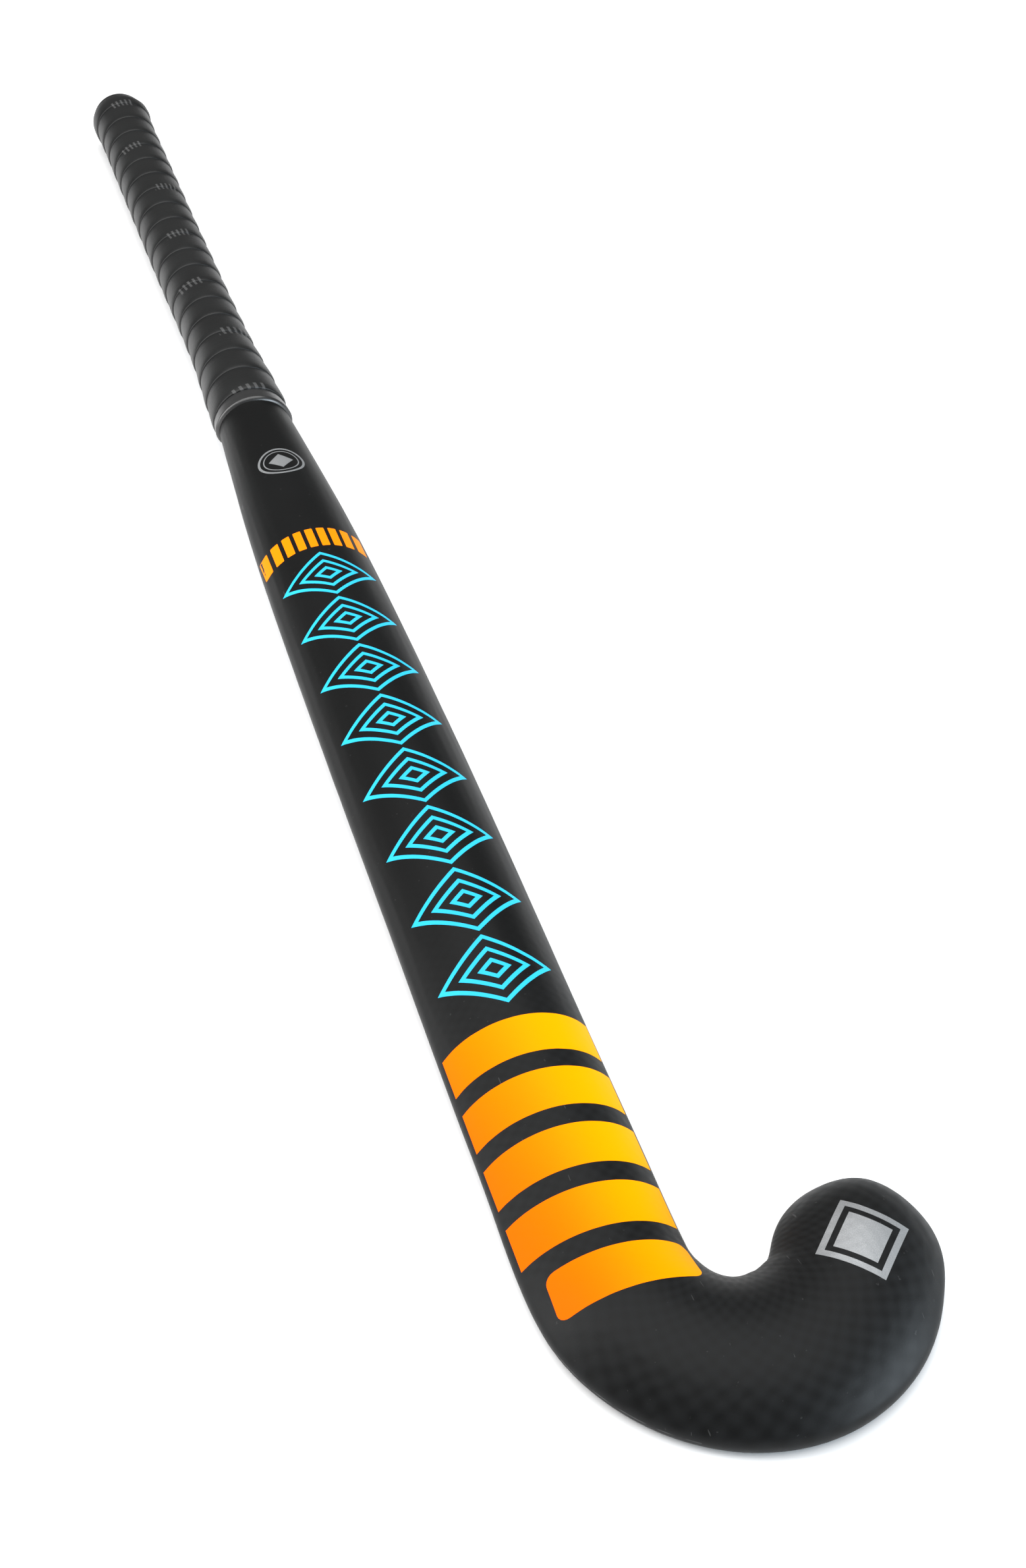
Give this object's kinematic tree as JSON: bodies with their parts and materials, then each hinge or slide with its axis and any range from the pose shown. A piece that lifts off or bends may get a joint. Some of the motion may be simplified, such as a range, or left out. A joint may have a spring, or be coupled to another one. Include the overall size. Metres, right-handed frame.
{
  "type": "field hockey stick",
  "caption": "Composite field hockey stick with a flat playing face, rounded back, upturned hook and a spirally wrapped grip, lying face down.",
  "frame": {"origin": "on the flat playing face, on the shaft's centre line, where the hook starts to turn away from the shaft", "axes": "+Y up the shaft to the butt end, +X towards the toe, +Z out of the rounded back; the stick lies on its flat face at z = 0"},
  "size_m": [0.1238, 0.9269, 0.0357],
  "materials": {
    "carbon_laminate": "satin black carbon weave laminate under clear matt lacquer",
    "core_foam": "rigid cream polyurethane foam",
    "tube_laminate": "raw black carbon laminate",
    "plug_foam": "rigid closed-cell foam",
    "cap_plastic": "moulded black plastic",
    "cushion_foam": "soft black underlay foam",
    "grip_tape": "slightly glossy black cushioned grip tape",
    "finish_band": "glossy black elastic band",
    "ink_cyan": "light blue printed line under clear lacquer",
    "ink_orange": "orange to yellow printed area under clear lacquer",
    "ink_silver": "silver printed area with a fine metallic flake",
    "ink_grey": "faint grey print on the grip tape"
  },
  "bodies": {
    "root": {"outer_shell": "carbon_laminate", "head_core": "core_foam", "toe_side_tube": "tube_laminate", "heel_side_tube": "tube_laminate", "handle_plug": "plug_foam", "butt_cap": "cap_plastic", "cushion_wrap": "cushion_foam", "grip_wrap": "grip_tape", "finishing_tape": "finish_band"}
  },
  "joints": []
}
